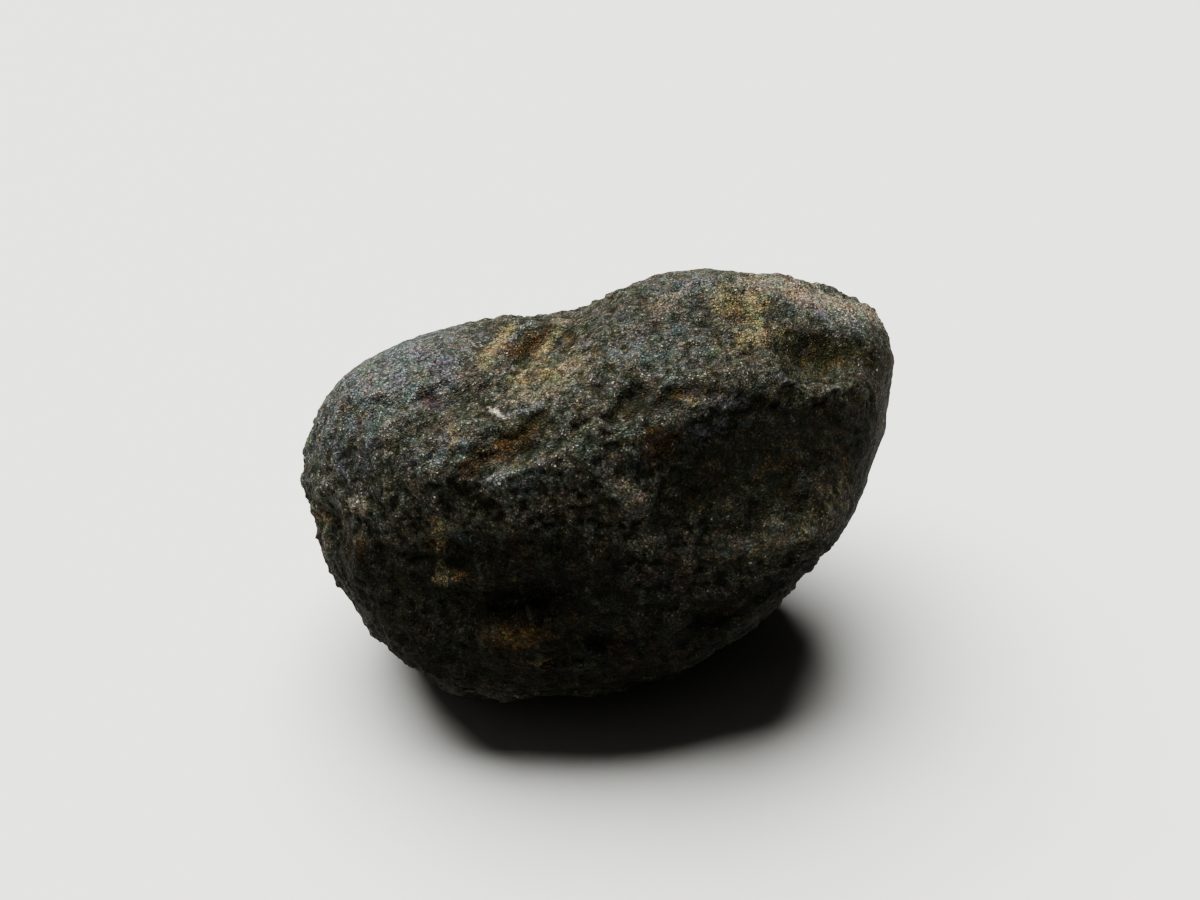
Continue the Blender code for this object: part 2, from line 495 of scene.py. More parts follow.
STAINS = {
    Tint.OLIVE: (
        Stain(near(-6.3, -2.6, 1.2, 1.4, 4), 0.7),  # the front
        Stain(near(-8.6, -5.4, 2.4, 1.0, -48), 0.6),
        Stain(near(-4.3, 4.4, 0.8, 0.3, 20), 0.5),  # beside the gutter
        Stain(near(-2.7, 2.1, 1.2, 0.5, 28), 0.9),  # the high end of the long hollow
        Stain(near(8.9, 5.35, 1.9, 1.0, -8, 1.2), 1.0),  # the end pit
        Stain(near(1.15, 3.4, 0.8, 0.6, 60), 0.95),  # pits on the brow
        Stain(near(5.4, 3.1, 0.9, 0.4, 10), 0.6),
        Stain(near(9.0, 0.6, 3.4, 2.8, 0), 0.65),  # the wide hollow and the tall end
        Stain(near(11.3, 2.8, 1.0, 3.2, -14), 0.7),
        Stain(far(-8.0, -0.9, 1.6, 1.2, -50), 0.7),
        Stain(far(2.4, -1.6, 2.2, 1.4, 10), 0.5),
        Stain(far(-5.6, 3.3, 2.2, 0.8, -24), 0.8),
    ),
    # Painted shade: this bare glass wash darkens the front, its foot, the wide hollow, the brow's pits, the
    # gutter and the lower back.
    Tint.GLASS: (
        Stain(near(5.8, 0.3, 4.8, 2.2, 12, 1.4), 1.0),  # the wide hollow and the brow above it
        Stain(near(8.2, 2.0, 1.8, 0.9, 0), 1.0),
        Stain(near(1.9, 3.0, 0.6, 0.45, 20), 0.6),
        Stain(near(5.8, 2.5, 2.2, 0.7, 12), 0.75),
        Stain(near(3.2, 3.5, 2.8, 0.6, 6), 0.75),
        Stain(near(3.2, 3.5, 0.7, 0.4, 20), 0.6),
        Stain(near(1.2, 3.3, 0.6, 0.45, 20), 0.9),
        Stain(near(10.0, 1.2, 1.8, 3.2, -15), 0.65),
        Stain(near(-1.5, -5.0, 6.5, 2.6, -4, 1.6), 1.0),  # the front and its foot
        Stain(near(-1.0, -7.6, 6.5, 1.2, -2, 1.6), 1.0),
        Stain(near(-9.0, -4.8, 2.2, 1.2, -50), 0.8),
        Stain(near(-10.3, -3.2, 0.9, 0.9, 0), 0.6),
        Stain(near(-7.4, -7.2, 2.2, 0.9, -32), 1.0),
        Stain(near(5.4, -5.4, 2.0, 0.8, 30), 1.0),
        Stain(near(8.6, -3.8, 3.4, 1.2, 40), 0.9),
        Stain(near(-3.0, -2.8, 3.4, 1.3, 0, 1.5), 0.6),
        Stain(near(-7.4, -3.4, 2.6, 1.1, -12), 0.55),
        Stain(near(-2.8, 5.5, 1.1, 0.26, 33), 0.5),  # the gutter, the long hollow and the end pit
        Stain(near(-3.2, 1.9, 1.8, 0.6, 28), 0.45),
        Stain(near(-5.0, -0.7, 1.3, 0.5, -25), 0.4),
        Stain(near(8.9, 5.5, 1.4, 0.6, -8), 0.5),
        Stain(far(0.0, -5.0, 7.0, 2.4, 0, 1.5), 0.7),
        Stain(far(-5.2, 3.2, 1.8, 0.6, -24), 0.6),
        Stain(far(-0.6, 0.8, 1.0, 0.7, 0), 0.6),
    ),
    Tint.PLUM: (
        Stain(near(-6.2, 3.1, 1.3, 0.4, 8), 0.6),
        Stain(near(-7.1, -5.8, 0.8, 0.5, 0), 0.5),
        Stain(near(2.4, -4.0, 1.6, 0.8, 10), 0.4),
        Stain(far(2.6, 0.2, 1.6, 1.0, -20), 0.6),
        Stain(far(-5.8, 0.8, 1.4, 0.9, 30), 0.6),
    ),
    Tint.RUST: (
        Stain(near(-2.85, 5.5, 1.3, 0.42, 33), 0.9),  # the gutter's bed
        Stain(near(-1.25, 5.5, 0.7, 0.3, 60), 0.55),
        Stain(near(-3.5, 1.5, 1.5, 0.6, 28), 0.7),  # the long hollow
        Stain(near(-5.2, 0.5, 0.7, 0.6, 40), 0.4),
        Stain(near(5.4, 7.2, 0.3, 0.9, 8), 0.6),  # the crown
        Stain(near(5.4, 6.9, 0.6, 0.45, 20), 0.5),
        Stain(near(9.5, 4.7, 0.4, 0.25, 0), 0.6),  # the end pit
        Stain(near(2.1, 1.6, 1.0, 0.8, 30), 0.75),  # the brow and below it
        Stain(near(3.1, 3.4, 0.7, 0.3, 10), 0.4),
        Stain(near(7.1, 0.8, 1.3, 0.9, 30), 0.42),
        Stain(near(9.6, 1.4, 0.7, 1.6, 10), 0.4),
        Stain(near(-3.3, -6.2, 1.4, 0.55, 5), 1.0),  # the front
        Stain(near(-7.1, -5.8, 0.6, 0.35, 0), 0.35),
        Stain(near(-9.6, -2.4, 0.6, 0.5, 0), 0.6),
        Stain(near(-5.6, -3.8, 0.5, 0.3, -5), 0.7),
        Stain(far(-0.4, 0.7, 1.2, 0.8, 0), 0.75),
        Stain(far(7.8, 0.4, 1.0, 1.4, 20), 0.6),
        Stain(far(3.1, 4.7, 1.4, 0.35, 35), 0.8),
        Stain(far(-2.2, -4.0, 1.6, 0.7, 12), 0.6),
        Stain(far(5.4, 1.6, 0.9, 0.6, 30), 0.6),
        Stain(far(-6.9, 0.2, 1.1, 0.6, -40), 0.65),
        Stain(far(1.6, 3.0, 0.8, 0.5, 10), 0.55),
        Stain(far(-3.8, 5.2, 0.9, 0.4, -20), 0.5),
    ),
    Tint.FROST: (
        Stain(near(-7.4, 4.8, 3.8, 1.9, 14), 0.75),  # the smooth lobe and below it
        Stain(near(-9.4, 2.4, 2.4, 1.8, 30), 0.32),
        Stain(near(-9.3, 0.3, 2.4, 1.2, 10), 0.28),
        Stain(near(-5.8, 1.2, 1.6, 0.9, 30), 0.55),
        # Partly frosted skin and partly painted light, which lifts the brow's hollow where the relief casts
        # shade.
        Stain(near(4.9, 3.1, 1.5, 0.35, 6), 0.6),  # the brow and below it
        Stain(near(4.2, 1.9, 0.9, 0.5, 20), 0.6),
        Stain(near(-11.2, 1.2, 1.2, 2.2, 0), 0.3),  # the low end
        Stain(near(-9.5, -1.0, 0.6, 0.4, -20), 0.6),
        Stain(near(-3.3, 6.05, 0.8, 0.12, 36), 0.8),  # the saddle and the high lobe
        Stain(near(2.2, 5.4, 3.6, 2.3, 15), 0.48),
        Stain(near(3.7, 7.9, 1.6, 0.6, 10), 0.6),
        Stain(near(9.6, 6.7, 1.9, 0.7, -15), 0.75),
        Stain(near(-2.6, 3.0, 1.3, 0.35, 20), 0.55),  # rims of the long hollow
        Stain(near(-3.6, 0.2, 1.6, 0.5, 20), 0.5),
        Stain(near(-2.9, -0.4, 1.0, 0.5, 20), 0.5),
        Stain(near(1.6, 1.5, 2.2, 0.5, 24), 0.45),  # knobs and ribs of the front
        Stain(near(1.0, -0.6, 1.2, 0.7, -35), 0.45),
        Stain(near(1.6, -2.2, 1.0, 0.45, 20), 0.45),
        Stain(near(-5.1, -2.25, 0.7, 0.25, -20), 0.6),
        Stain(near(5.8, -2.6, 1.8, 0.5, 12), 0.35),
        Stain(near(7.6, -2.2, 1.4, 0.5, 10), 0.32),
        Stain(far(0.6, 6.4, 4.5, 1.2, 5), 0.5),
        Stain(far(6.6, 5.0, 1.8, 1.2, -30), 0.45),
        Stain(far(-3.4, 6.0, 2.2, 1.0, -15), 0.5),
        Stain(far(1.8, 2.2, 1.6, 0.8, 20), 0.5),
        Stain(far(-7.6, 1.6, 1.2, 1.6, 10), 0.45),
        Stain(far(-2.8, -1.4, 2.0, 0.8, 25), 0.4),
    ),
    Tint.OCHRE: (
        Stain(near(-3.8, 5.85, 0.9, 0.35, 40), 0.75),  # the gutter's banks
        Stain(near(-4.4, 5.0, 0.7, 0.45, 30), 0.75),
        Stain(near(-2.05, 5.6, 0.9, 0.22, 52), 0.95),
        Stain(near(-1.3, 4.5, 1.0, 0.7, 20), 0.45),  # the saddle
        Stain(near(-3.0, 4.1, 1.8, 0.8, 25), 0.45),
        Stain(near(0.3, 5.0, 0.8, 0.5, 20), 0.3),
        Stain(near(-0.6, 3.1, 0.8, 0.5, 20), 0.25),
        Stain(near(6.1, 7.3, 0.8, 1.2, 8), 0.75),  # streaks down from the crown
        Stain(near(4.8, 7.4, 0.5, 0.8, 10), 0.6),
        Stain(near(6.0, 5.7, 1.2, 0.5, 10), 0.75),
        Stain(near(2.5, 7.1, 0.9, 0.5, 30), 0.6),
        Stain(near(3.9, 3.2, 1.2, 0.4, 10), 0.4),  # the brow
        Stain(near(9.4, -0.4, 1.0, 1.4, -40), 0.45),  # the ridge and the front
        Stain(near(7.6, -2.1, 2.0, 0.7, 20), 0.32),
        Stain(near(5.4, -2.7, 2.6, 0.5, 12), 0.35),
        Stain(near(1.0, -0.6, 1.3, 0.9, -30), 0.3),
        Stain(near(-5.6, 1.7, 0.45, 1.3, 0), 0.5),
        Stain(near(-6.4, -2.1, 0.5, 1.4, 4), 0.6),
        Stain(near(-6.2, -3.9, 0.7, 0.35, -5), 0.6),
        Stain(near(-2.0, -7.2, 2.2, 0.35, -8), 0.35),
        Stain(near(-11.2, -1.6, 0.9, 0.5, -50), 0.55),  # the low end
        Stain(near(-10.0, -0.9, 0.8, 0.5, -20), 0.25),
        Stain(near(-9.4, -1.0, 0.9, 0.5, -20), 0.4),
        Stain(far(-4.8, 2.6, 2.0, 0.7, -24), 0.65),
        Stain(far(3.6, 4.3, 1.8, 0.6, 35), 0.65),
        Stain(far(-6.4, -2.8, 1.6, 0.5, -30), 0.45),
        Stain(far(9.4, 2.6, 0.8, 1.6, 10), 0.45),
        Stain(far(0.2, 4.6, 1.5, 0.7, 10), 0.5),
        Stain(far(7.4, 3.4, 1.2, 0.8, -30), 0.45),
        Stain(far(-2.6, 1.0, 1.0, 0.6, 40), 0.45),
        Stain(far(4.8, -2.6, 1.6, 0.6, 15), 0.4),
        Stain(far(5.6, -0.9, 1.2, 0.5, 30), 0.5),
        Stain(far(-0.9, -2.6, 1.6, 0.5, -12), 0.5),
    ),
    Tint.CREAM: (
        Stain(near(9.0, 7.55, 2.9, 0.46, -20), 1.0),  # the edge above the end pit
        Stain(near(6.6, 7.95, 1.2, 0.34, -6), 0.7),
        Stain(near(8.3, 7.2, 1.8, 0.5, -18), 0.3),
        Stain(near(11.1, 6.95, 0.7, 0.32, -32), 0.9),
        Stain(near(8.3, 3.62, 1.1, 0.16, 0), 0.45),  # the pit's crescent lip
        Stain(near(10.2, 3.9, 0.3, 0.25, 4), 0.55),
        Stain(near(-1.5, 6.5, 0.5, 0.25, 10), 0.75),  # the saddle
        Stain(near(-1.1, 4.3, 0.9, 0.5, 30), 0.35),
        Stain(near(-2.3, 3.5, 1.0, 0.5, 25), 0.4),
        Stain(near(-3.6, 3.5, 1.6, 0.6, 20), 0.3),
        Stain(near(1.0, -0.5, 1.1, 0.6, -35), 0.5),  # knobs on the front
        Stain(near(1.9, -2.3, 0.9, 0.4, 20), 0.35),
        Stain(far(-4.2, 4.5, 1.8, 0.25, -22), 0.6),
        Stain(far(5.4, -1.6, 0.6, 0.5, 0), 0.5),
    ),
    Tint.CHIP: (
        Stain(near(-4.15, 2.78, 0.34, 0.1, -32, 1.5), 1.0),
        Stain(near(-3.75, 2.5, 0.16, 0.08, -10, 1.5), 0.8),
        Stain(far(-2.6, 2.8, 0.35, 0.14, 35, 1.5), 0.9),
        Stain(far(5.2, -2.2, 0.28, 0.14, -20, 1.5), 0.8),
    ),
}


def opaque(colour: Colour) -> tuple[float, ...]:
    """A colour with full alpha."""
    return (*colour, 1.0)


class Graph:
    """Adds and links nodes in one node tree."""

    def __init__(self, tree: bpy.types.NodeTree) -> None:
        """Wraps a node tree."""
        self.tree = tree

    def node(self, kind: str, inputs: Inputs | None = None, **settings: Setting) -> bpy.types.Node:
        """Adds a node.

        Args:
            kind: The node type's name without its "ShaderNode" start.
            inputs: Each input's name or number, with a value or the socket that feeds it.
            **settings: The node's own properties.

        Returns:
            The new node.
        """
        made = self.tree.nodes.new("ShaderNode" + kind)
        for name, value in settings.items():
            setattr(made, name, value)
        for key, value in (inputs or {}).items():
            self.put(made.inputs[key], value)
        return made

    def put(self, entry: Socket, value: Feed) -> None:
        """Gives an input a value, or links the socket that feeds it.

        Args:
            entry: The input.
            value: The value or the socket.
        """
        if isinstance(value, Socket):
            self.tree.links.new(value, entry)
        else:
            entry.default_value = value

    def math(self, operation: str, first: Feed, second: Feed, third: Feed = 0.0) -> Socket:
        """A Math node's result."""
        return self.node("Math", {0: first, 1: second, 2: third}, operation=operation).outputs[0]

    def vector(self, operation: str, first: Feed, second: Feed, third: Feed = (0.0,) * 3) -> Socket:
        """A Vector Math node's result."""
        return self.node("VectorMath", {0: first, 1: second, 2: third}, operation=operation).outputs[0]

    def ramp(self, value: Feed, low: float, high: float) -> Socket:
        """Steps smoothly from 0 at low to 1 at high.

        Args:
            value: What is stepped.
            low: Where the step starts.
            high: Where it ends.

        Returns:
            The socket that carries the step.
        """
        inputs = {"Value": value, "From Min": low, "From Max": high}
        return self.node("MapRange", inputs, interpolation_type="SMOOTHSTEP").outputs["Result"]

    def mix(self, factor: Feed, first: Feed, second: Feed) -> Socket:
        """Two colours, mixed by a factor from 0 to 1."""
        share, start, end, mixed = 0, 6, 7, 2  # the node's sockets for colours
        inputs = {share: factor, start: first, end: second}
        return self.node("Mix", inputs, data_type="RGBA").outputs[mixed]

    def mask(self, name: str) -> Socket:
        """A mask that is stored on the mesh."""
        return self.node("Attribute", attribute_name=name).outputs["Fac"]

    def place_in_mm(self) -> Socket:
        """The place on a piece, in millimetres."""
        place = self.node("TexCoord").outputs["Object"]
        return self.node("Mapping", {"Vector": place, "Scale": (1 / MM,) * 3}).outputs[0]


class Effect:
    """A shader node group with named sockets, for an effect that materials share."""

    def __init__(self, name: str, inputs: dict[str, str], outputs: dict[str, str]) -> None:
        """Starts the group.

        Args:
            name: The group's name.
            inputs: Each input's name and its kind: Float, Color or Vector.
            outputs: The same for the outputs.
        """
        self.tree = bpy.data.node_groups.new(name, "ShaderNodeTree")
        for side, sockets in (("INPUT", inputs), ("OUTPUT", outputs)):
            for label, kind in sockets.items():
                self.tree.interface.new_socket(label, in_out=side, socket_type="NodeSocket" + kind)
        self.graph = Graph(self.tree)
        self.given = self.tree.nodes.new("NodeGroupInput").outputs
        self.results = self.tree.nodes.new("NodeGroupOutput").inputs

    def finish(self, results: dict[str, Socket]) -> bpy.types.NodeTree:
        """Links the group's outputs.

        Args:
            results: Each output's name, with the socket that feeds it.

        Returns:
            The finished group.
        """
        for label, socket in results.items():
            self.tree.links.new(socket, self.results[label])
        return self.tree


@cache
def grain_group() -> bpy.types.NodeTree:
    """Builds sandy grain: each grain's tone, a random hue for it, bright specks, and height.

    Returns:
        The group, built once.
    """
    layers = 2.0  # the noises' finer layers
    wander_per_mm, wander_mm = 5.0, 0.2  # how the outlines of the grains wander
    heart, rim = 0.10, 0.66  # where a grain is full and where it ends, in its own size
    dust_per_grain, dust_rough = 2.2, 0.8  # finer noise over the grains
    dust_tone, dust_height = 1.8, 1.3
    lot_tone, lot_height = 0.6, 0.8  # how much the grains differ from each other
    dark, pale = 0.65, 1.85  # the tones that give the least and the most gain
    gap, fill = 0.5, 0.8  # the gain left between grains, and what a full grain adds
    gain_low, gain_span = 0.16, 2.1
    speck_ease, speck_rim, speck_heart = 0.6, 0.35, 0.8  # how specks fade towards a grain's rim
    effect = Effect(
        "sandy grain",
        {"Place": "Vector", "Grain": "Float", "Specks": "Float"},
        {"Gain": "Float", "Speck": "Float", "Hue": "Float", "Height": "Float"},
    )
    graph, given = effect.graph, effect.given
    drift = graph.node("TexNoise", {"Vector": given["Place"], "Scale": wander_per_mm, "Detail": layers})
    place = graph.vector("MULTIPLY_ADD", drift.outputs["Color"], (wander_mm,) * 3, given["Place"])
    cells = graph.node("TexVoronoi", {"Vector": place, "Scale": given["Grain"]})
    lots = graph.node("SeparateColor", {"Color": cells.outputs["Color"]}).outputs
    body = graph.ramp(cells.outputs["Distance"], rim, heart)
    dust_scale = graph.math("MULTIPLY", given["Grain"], dust_per_grain)
    dust = graph.node("TexNoise", {
        "Vector": place, "Scale": dust_scale, "Detail": layers, "Roughness": dust_rough,
    }).outputs[0]
    tone = graph.math("MULTIPLY_ADD", dust, dust_tone, graph.math("MULTIPLY", lots[0], lot_tone))
    tone = graph.math("MULTIPLY", graph.ramp(tone, dark, pale), graph.math("MULTIPLY_ADD", body, fill, gap))
    chance = graph.math("SUBTRACT", 1.0, given["Specks"])
    chosen = graph.node("MapRange", {"Value": lots[1], "From Min": chance, "From Max": 1.0}).outputs[0]
    chosen = graph.math("POWER", chosen, speck_ease)
    height = graph.math("MULTIPLY_ADD", dust, dust_height, body)
    return effect.finish({
        "Gain": graph.math("MULTIPLY_ADD", tone, gain_span, gain_low),
        "Speck": graph.math("MULTIPLY", chosen, graph.ramp(body, speck_rim, speck_heart)),
        "Hue": cells.outputs["Color"],
        "Height": graph.math("MULTIPLY_ADD", lots[2], lot_height, height),
    })


@cache
def stain_group() -> bpy.types.NodeTree:
    """Builds a stain: a colour laid over another, inside a painted mask and in scattered blotches.

    Returns:
        The group, built once.
    """
    layers, middle = 5.0, 0.5  # the noise's finer layers and middle value
    blotch_rough, ragged = 0.72, 2.2  # how broken the blotches are, and how far they eat into a patch
    bare, covered = 0.15, 0.95  # what a painted patch shows below and above
    faint, firm = 0.02, 0.25  # the mask below which nothing is painted, and above which all is
    sparse, dense = 0.02, 0.20  # the swing of the noise that starts and fills a scattered blotch
    effect = Effect(
        "stain",
        {
            "Place": "Vector", "Base": "Color", "Stain": "Color",
            "Painted": "Float", "Blotch": "Float", "Scatter": "Float", "Seed": "Float",
        },
        {"Color": "Color"},
    )
    graph, given = effect.graph, effect.given
    apart = graph.node("CombineXYZ", {axis: given["Seed"] for axis in range(3)}).outputs[0]
    moved = graph.vector("ADD", given["Place"], apart)
    blotches = graph.node("TexNoise", {
        "Vector": moved, "Scale": given["Blotch"], "Detail": layers, "Roughness": blotch_rough,
    })
    swing = graph.math("SUBTRACT", blotches.outputs[0], middle)
    painted = graph.ramp(graph.math("MULTIPLY_ADD", swing, ragged, given["Painted"]), bare, covered)
    painted = graph.math("MULTIPLY", painted, graph.ramp(given["Painted"], faint, firm))
    scattered = graph.math("MULTIPLY", graph.ramp(swing, sparse, dense), given["Scatter"])
    shown = graph.math("MAXIMUM", painted, scattered)
    return effect.finish({"Color": graph.mix(shown, given["Base"], given["Stain"])})


@dataclass(frozen=True)
class Wash:
    """One colour of the weathered skin: where it is painted, and how it scatters on its own."""

    tint: Tint
    colour: Colour
    blotch_per_mm: float
    scatter: float
    seed: float


@dataclass(frozen=True)
class WeatheredGlass:
    """The stone's one finish: dark olive-brown glass under a sandy, frosted and stained skin.

    deep and hide are the colours of hollows and crests; the darker colour of the hollows is partly bare glass
    and partly painted shade. cool and warm are the ends of the grains' hues, and mottle is how far red, green
    and blue drift from place to place. speck_rise keeps the pale specks, which are also painted glints, to
    crests, and bare_specks is the share of them that the bare glass wash, which also paints shade, takes
    away.
    """

    hollow_glass_and_shade: Colour = (0.015, 0.016, 0.005)
    hide: Colour = (0.086, 0.084, 0.067)
    # Pale specks, partly pale grains and partly painted glints.
    speck_and_glint: Colour = (0.52, 0.50, 0.46)
    cool: Colour = (0.84, 1.02, 1.06)
    warm: Colour = (1.14, 1.00, 0.88)
    washes: tuple[Wash, ...] = (
        Wash(Tint.OLIVE, (0.031, 0.030, 0.007), 1.1, 0.45, 3.0),
        # Darker bare glass, which also paints the shade of the front and the hollows.
        Wash(Tint.GLASS, (0.0125, 0.0135, 0.0040), 0.9, 0.10, 5.0),
        Wash(Tint.PLUM, (0.077, 0.057, 0.055), 1.4, 0.42, 11.0),
        Wash(Tint.RUST, (0.100, 0.054, 0.018), 1.8, 0.30, 19.0),
        Wash(Tint.FROST, (0.119, 0.126, 0.127), 1.7, 0.32, 31.0),
        Wash(Tint.OCHRE, (0.185, 0.150, 0.088), 1.9, 0.22, 43.0),
        Wash(Tint.CREAM, (0.196, 0.171, 0.131), 2.2, 0.0, 57.0),
        Wash(Tint.CHIP, (0.420, 0.400, 0.340), 5.0, 0.0, 71.0),
    )
    mottle: Colour = (0.85, 0.36, 0.75)
    mottle_per_mm: float = 1.3
    grain_per_mm: float = 10.0
    specks: float = 0.12
    speck_rise: float = 2.5
    bare_specks: float = 0.95
    dull: float = 0.62
    bright: float = 0.34
    specular: float = 0.23
    bump_mm: float = 0.055

    def material(self) -> bpy.types.Material:
        """Builds the stone's material.

        Returns:
            The material, which reads the masks that the stone's skin carries.
        """
        made = bpy.data.materials.new("frosted saffordite")
        made.use_nodes = True
        graph = Graph(made.node_tree)
        shader = made.node_tree.nodes["Principled BSDF"]
        place = graph.place_in_mm()
        crest = graph.mask(CREST)
        grain = graph.node("Group", {
            "Place": place, "Grain": self.grain_per_mm, "Specks": self.specks,
        }, node_tree=grain_group())
        # Hollows are painted darker than crests: partly the bare glass that hollows show, partly painted
        # shade.
        stained = self.stained(graph, place, graph.mix(crest, opaque(self.hollow_glass_and_shade), opaque(self.hide)))
        tinted = graph.vector("MULTIPLY", stained, self.hue(graph, place, grain.outputs["Hue"]))
        gained = {0: tinted, "Scale": grain.outputs["Gain"]}
        toned = graph.node("VectorMath", gained, operation="SCALE").outputs[0]
        raised = graph.math("POWER", crest, self.speck_rise)
        # Specks fade where the bare glass wash paints shade.
        frosted = graph.math("MULTIPLY_ADD", graph.mask(Tint.GLASS.value), -self.bare_specks, 1.0)
        # Pale specks on the crests, partly pale grains and partly painted glints, fewer where the bare glass
        # wash paints shade.
        shine = graph.math("MULTIPLY", grain.outputs["Speck"], graph.math("MULTIPLY", raised, frosted))
        graph.put(shader.inputs["Base Color"], graph.mix(shine, toned, opaque(self.speck_and_glint)))
        rough = graph.node("MapRange", {
            "Value": grain.outputs["Speck"], "To Min": self.dull, "To Max": self.bright,
        })
        graph.put(shader.inputs["Roughness"], rough.outputs["Result"])
        shader.inputs["Specular IOR Level"].default_value = self.specular
        bump = graph.node("Bump", {"Distance": self.bump_mm * MM, "Height": grain.outputs["Height"]})
        graph.put(shader.inputs["Normal"], bump.outputs[0])
        return made

    def stained(self, graph: Graph, place: Socket, base: Socket) -> Socket:
        """Lays the washes over the bare colour, one by one.

        Args:
            graph: The material's graph.
            place: The place on the stone, in millimetres.
            base: The colour of hollows and crests, with the shade painted into the hollows.

        Returns:
            The socket that carries the stained colour.
        """
        for wash in self.washes:
            base = graph.node("Group", {
                "Place": place, "Base": base, "Stain": opaque(wash.colour),
                "Painted": graph.mask(wash.tint.value), "Blotch": wash.blotch_per_mm,
                "Scatter": wash.scatter, "Seed": wash.seed,
            }, node_tree=stain_group()).outputs["Color"]
        return base

    def hue(self, graph: Graph, place: Socket, lot: Socket) -> Socket:
        """Makes the tint that varies from grain to grain and drifts from place to place.

        Args:
            graph: The material's graph.
            place: The place on the stone, in millimetres.
            lot: Each grain's own random colour.

        Returns:
            The socket that carries the factor for each of red, green and blue.
        """
        layers = 3.0  # the noise's finer layers
        drift = graph.node("TexNoise", {"Vector": place, "Scale": self.mottle_per_mm, "Detail": layers})
        level = tuple(1.0 - swing / 2 for swing in self.mottle)
        mottled = graph.vector("MULTIPLY_ADD", drift.outputs["Color"], self.mottle, level)
        return graph.vector("MULTIPLY", graph.mix(lot, opaque(self.cool), opaque(self.warm)), mottled)


@dataclass
class Nodule:
    """The stone: its fine skin, sculpted, painted and dressed.

    The marks' edges wander by ragged_mm. Calm places lose a share of their roughness, which is calming. The
    skin is smoothest at the floor, and fully rough foot_mm above it. A crest is told by its height above its
    near and its wider surroundings, each with its own contrast.
    """

    name: str = "nodule_surface"
    girdle: Girdle = field(default_factory=Girdle)
    finish: WeatheredGlass = field(default_factory=WeatheredGlass)
    weld: float = 0.001 * MM
    quad_turn: float = math.radians(60)
    levels: int = 2
    ragged_mm: float = 0.30
    ragged_size_mm: float = 0.8
    ragged_shifts: tuple[float, float] = (3.1, 7.7)
    calming: float = 0.72
    foot_rough: float = 0.2
    foot_mm: float = 0.8
    near_rounds: int = 4
    near_contrast: float = 14.0
    wide_rounds: int = 40
    wide_contrast: float = 3.0

    def build(self) -> bpy.types.Object:
        """Makes the whole piece.

        Returns:
            The stone's object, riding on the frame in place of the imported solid.
        """
        piece = self.fine_copy(frame["nodes"]["nodule"])
        self.sculpt(piece)
        for relief in RELIEFS:
            self.roughen(piece, relief)
        skin = Skin(piece)
        skin.move(skin.points)
        self.paint(skin)
        piece.data.materials.clear()
        piece.data.materials.append(self.finish.material())
        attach(piece, "root")
        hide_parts("nodule")
        return piece

    def fine_copy(self, solid: bpy.types.Object) -> bpy.types.Object:
        """Copies the solid, welds its triangles to quads and divides them smoothly.

        Args:
            solid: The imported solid.

        Returns:
            The copy, a closed mesh of fine quads.
        """
        bpy.ops.object.select_all(action="DESELECT")
        solid.select_set(True)
        bpy.context.view_layer.objects.active = solid
        bpy.ops.object.duplicate()
        piece = bpy.context.view_layer.objects.active
        piece.name = self.name
        piece.parent = None
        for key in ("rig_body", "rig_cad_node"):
            del piece[key]
        bpy.ops.object.mode_set(mode="EDIT")
        bpy.ops.mesh.select_all(action="SELECT")
        bpy.ops.mesh.remove_doubles(threshold=self.weld)
        bpy.ops.mesh.tris_convert_to_quads(face_threshold=self.quad_turn, shape_threshold=self.quad_turn)
        bpy.ops.object.mode_set(mode="OBJECT")
        LOG.info("welded copy: %d faces", len(piece.data.polygons))
        divide = piece.modifiers.new("fine quads", "SUBSURF")
        divide.levels = divide.render_levels = self.levels
        bpy.ops.object.modifier_apply(modifier=divide.name)
        bpy.ops.object.shade_smooth()
        return piece

    def sculpt(self, piece: bpy.types.Object) -> None:
        """Lifts and sinks the skin along its normals by the marks, whose edges wander.

        Args:
            piece: The stone. It also gets a vertex group that says how rough each place may be.
        """
        skin = Skin(piece)
        placed = self.girdle.placed(skin.points)
        for axis, shift in enumerate(self.ragged_shifts):
            placed[:, axis] += self.ragged_mm * noise_field(skin.points / MM, self.ragged_size_mm, shift)
        lift = sum(self.girdle.lift(mark, placed) for mark in MARKS)
        skin.move(skin.points + skin.normals() * (lift * MM)[:, None])
        calm = np.clip(sum(self.girdle.felt(place, placed) for place in CALM_PLACES), 0.0, 1.0)
        foot = np.clip(self.foot_rough + skin.points[:, 2] / (self.foot_mm * MM), 0.0, 1.0)
        rugged = piece.vertex_groups.new(name=RUGGED)
        for index, weight in enumerate((1.0 - self.calming * calm) * foot):
            rugged.add([index], float(weight), "REPLACE")

    def roughen(self, piece: bpy.types.Object, relief: Relief) -> None:
        """Displaces the stone's skin by one pattern of relief.

        Args:
            piece: The stone.
            relief: The pattern.
        """
        push = piece.modifiers.new(relief.name, "DISPLACE")
        push.texture = relief.texture()
        push.texture_coords = "LOCAL"
        push.vertex_group = RUGGED
        push.strength = relief.height_mm * MM
        push.mid_level = relief.level
        bpy.ops.object.modifier_apply(modifier=push.name)

    def paint(self, skin: Skin) -> None:
        """Stores the masks of the stains, and of crests and hollows, on the skin.

        Args:
            skin: The sculpted skin.
        """
        placed = self.girdle.placed(skin.points)
        for tint, stains in STAINS.items():
            felt = sum(stain.strength * self.girdle.felt(stain.place, placed) for stain in stains)
            skin.paint(tint.value, np.clip(felt, 0.0, 1.0))
        # The crest mask darkens the hollows with painted shade, and keeps the pale specks to crests.
        level = 0.5  # the mask on level ground
        crest = self.near_contrast * skin.relief(self.near_rounds)
        crest += self.wide_contrast * skin.relief(self.wide_rounds)
        skin.paint(CREST, np.clip(level + crest, 0.0, 1.0))


